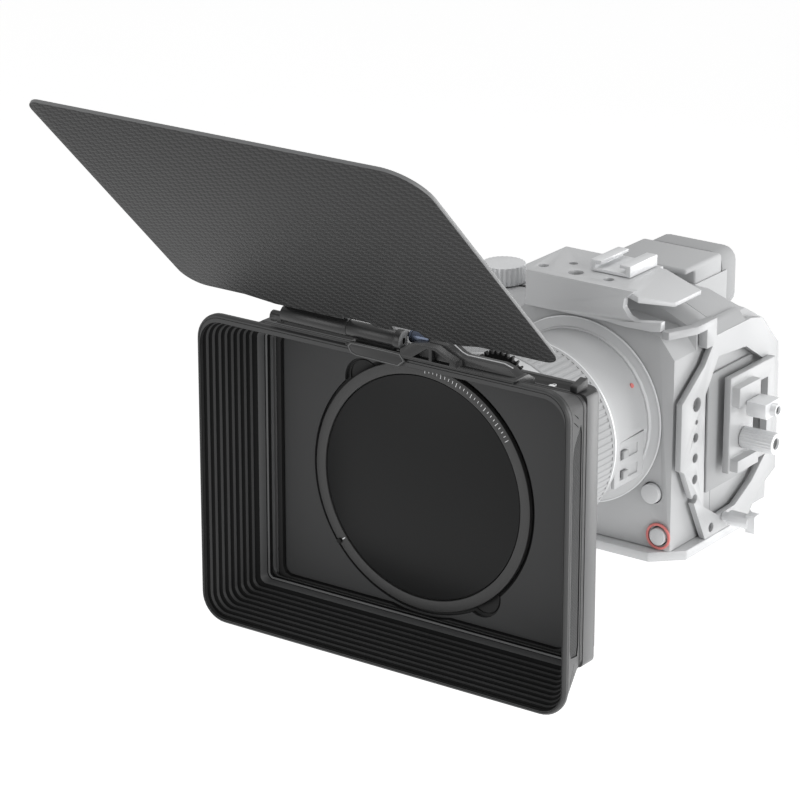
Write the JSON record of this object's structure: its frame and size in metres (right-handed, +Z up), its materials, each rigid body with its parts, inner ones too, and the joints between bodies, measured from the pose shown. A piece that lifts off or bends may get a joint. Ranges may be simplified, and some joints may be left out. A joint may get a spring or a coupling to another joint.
{
  "type": "cinema camera rig",
  "caption": "Camera in a half cage with a zoom lens and a clamp-on matte box that has a hinged top flag and a drop-in variable filter tray.",
  "frame": {"origin": "underside of the cage base plate, below the lens axis, 12 mm behind the tripod screw", "axes": "+Z up, -Y the way the lens looks, +X to the camera's own left"},
  "size_m": [0.195, 0.3419, 0.2478],
  "materials": {
    "matte_black": "fine matte moulded plastic",
    "satin_black": "satin black anodised",
    "black_metal": "black anodised",
    "carbon": "carbon fibre weave, satin",
    "dark_glass": "dark neutral density glass",
    "clear_glass": "coated optical glass",
    "steel": "brushed",
    "pale_body": "fine grained pale grey plastic",
    "pale_rubber": "ribbed pale grey rubber",
    "pale_metal": "bead blasted pale anodised",
    "light_metal": "bright satin anodised",
    "red_ring": "satin red",
    "circuit": "green board laminate"
  },
  "bodies": {
    "camera_rig": {"hood_shell": "matte_black", "hinge_bracket": "matte_black", "rear_frame": "satin_black", "hinge_pin": "black_metal", "lens_clamp_ring": "black_metal", "iris_unit": "black_metal", "battery": "black_metal", "lens_front_glass": "clear_glass", "lens_rear_glass": "clear_glass", "base_screw": "steel", "lens_front_barrel": "pale_body", "lens_rear_barrel": "pale_body", "lens_switch_plate": "pale_body", "body_front_shell": "pale_body", "body_rear_shell": "pale_body", "viewfinder_housing": "pale_body", "grip": "pale_rubber", "eyecup": "pale_rubber", "port_cover": "pale_rubber", "lens_mount_collar": "pale_metal", "cage_top_plate": "pale_metal", "cage_side_plate": "pale_metal", "cage_base_plate": "pale_metal", "cable_clamp_bracket": "pale_metal", "cold_shoe": "light_metal", "record_ring": "red_ring", "sensor_unit": "circuit", "main_board": "circuit"},
    "flag": {"flag_panel": "carbon", "flag_hinge_barrel": "matte_black", "flag_clamp_strip": "black_metal"},
    "tension_knob_body": {"tension_knob": "black_metal"},
    "tray": {"tray_frame": "satin_black", "tray_panel": "satin_black", "polarizer_glass": "dark_glass", "polarizer_retainer": "black_metal", "wheel_axle": "steel"},
    "filter": {"filter_ring": "black_metal", "filter_glass": "dark_glass", "ring_index_pin": "steel"},
    "thumb_wheel_body": {"thumb_wheel": "matte_black"},
    "latch": {"tray_latch": "black_metal"},
    "clamp_screw_body": {"clamp_screw": "steel"},
    "focus_ring_body": {"focus_ring": "pale_rubber"},
    "control_ring_body": {"control_ring": "pale_metal"},
    "zoom_ring_body": {"zoom_ring": "pale_rubber"},
    "focus_switch_body": {"focus_mode_switch": "pale_rubber"},
    "stabilizer_switch_body": {"stabilizer_switch": "pale_rubber"},
    "record_button_body": {"record_button": "pale_metal"},
    "shutter_button_body": {"shutter_button": "pale_metal"},
    "lens_release_body": {"lens_release_button": "pale_metal"},
    "mode_dial_body": {"mode_dial": "pale_metal"},
    "front_dial_body": {"front_dial": "pale_metal"},
    "screen": {"screen_hinge": "pale_body", "screen_housing": "pale_body", "screen_glass": "dark_glass"},
    "battery_door_body": {"battery_door": "pale_body"},
    "cable_knob_body": {"cable_clamp_knob": "light_metal"},
    "cable_jaw_body": {"cable_clamp_jaw": "light_metal"},
    "bracket_knob_body": {"bracket_lock_knob": "light_metal"}
  },
  "joints": [
    {"name": "flag_tilt", "type": "hinge", "parent": "camera_rig", "child": "flag", "pos_m": [0, -0.1872, 0.1343], "axis": [1, 0, 0], "range_deg": [-100, 55]},
    {"name": "tension_knob_turn", "type": "hinge", "parent": "camera_rig", "child": "tension_knob_body", "pos_m": [-0.051, -0.1872, 0.1323], "axis": [1, 0, 0], "continuous": true},
    {"name": "tray_lift", "type": "slide", "parent": "camera_rig", "child": "tray", "axis": [0, 0, 1], "range_m": [0, 0.12]},
    {"name": "filter_turn", "type": "hinge", "parent": "tray", "child": "filter", "pos_m": [0, -0.157, 0.0605], "axis": [0, 1, 0], "range_deg": [-35, 35]},
    {"name": "thumb_wheel_turn", "type": "hinge", "parent": "tray", "child": "thumb_wheel_body", "pos_m": [0.03523, -0.1545, 0.11273], "axis": [0, 1, 0], "range_deg": [-140, 140]},
    {"name": "tray_latch_slide", "type": "slide", "parent": "camera_rig", "child": "latch", "axis": [1, 0, 0], "range_m": [-0.003, 0]},
    {"name": "clamp_screw_turn", "type": "hinge", "parent": "camera_rig", "child": "clamp_screw_body", "pos_m": [0.01, -0.1395, 0.0054], "axis": [1, 0, 0], "continuous": true},
    {"name": "focus_turn", "type": "hinge", "parent": "camera_rig", "child": "focus_ring_body", "pos_m": [0, -0.12, 0.0605], "axis": [0, 1, 0], "continuous": true},
    {"name": "control_ring_turn", "type": "hinge", "parent": "camera_rig", "child": "control_ring_body", "pos_m": [0, -0.104, 0.0605], "axis": [0, 1, 0], "continuous": true},
    {"name": "zoom_turn", "type": "hinge", "parent": "camera_rig", "child": "zoom_ring_body", "pos_m": [0, -0.09, 0.0605], "axis": [0, 1, 0], "range_deg": [0, 75]},
    {"name": "focus_switch_slide", "type": "slide", "parent": "camera_rig", "child": "focus_switch_body", "axis": [0, 1, 0], "range_m": [0, 0.008]},
    {"name": "stabilizer_switch_slide", "type": "slide", "parent": "camera_rig", "child": "stabilizer_switch_body", "axis": [0, 1, 0], "range_m": [0, 0.008]},
    {"name": "record_button_press", "type": "slide", "parent": "camera_rig", "child": "record_button_body", "axis": [0, 1, 0], "range_m": [0, 0.0012], "stiffness_N_per_m": 400, "springref_m": -0.001},
    {"name": "shutter_button_press", "type": "slide", "parent": "camera_rig", "child": "shutter_button_body", "axis": [0, 0, -1], "range_m": [0, 0.0015], "stiffness_N_per_m": 400, "springref_m": -0.001},
    {"name": "lens_release_press", "type": "slide", "parent": "camera_rig", "child": "lens_release_body", "axis": [0, 1, 0], "range_m": [0, 0.0012], "stiffness_N_per_m": 400, "springref_m": -0.001},
    {"name": "mode_dial_turn", "type": "hinge", "parent": "camera_rig", "child": "mode_dial_body", "pos_m": [-0.063, -0.006, 0.102], "axis": [0, 0, 1], "continuous": true},
    {"name": "front_dial_turn", "type": "hinge", "parent": "camera_rig", "child": "front_dial_body", "pos_m": [-0.088, -0.03, 0.099], "axis": [0, 0, 1], "continuous": true},
    {"name": "screen_swing", "type": "hinge", "parent": "camera_rig", "child": "screen", "pos_m": [0.044, 0.046, 0.046], "axis": [0, 0, 1], "range_deg": [-175, 0]},
    {"name": "battery_door_swing", "type": "hinge", "parent": "camera_rig", "child": "battery_door_body", "pos_m": [-0.086, -0.002, 0.0048], "axis": [1, 0, 0], "range_deg": [0, 90]},
    {"name": "cable_knob_turn", "type": "hinge", "parent": "camera_rig", "child": "cable_knob_body", "pos_m": [0.064, 0.005, 0.046], "axis": [1, 0, 0], "continuous": true},
    {"name": "cable_jaw_slide", "type": "slide", "parent": "camera_rig", "child": "cable_jaw_body", "axis": [0, 0, 1], "range_m": [-0.004, 0]},
    {"name": "bracket_knob_turn", "type": "hinge", "parent": "camera_rig", "child": "bracket_knob_body", "pos_m": [0.066, -0.004, 0.011], "axis": [1, 0, 0], "continuous": true}
  ],
  "couplings": [
    {"joint": "thumb_wheel_turn", "follows": "filter_turn", "ratio": -4}
  ]
}
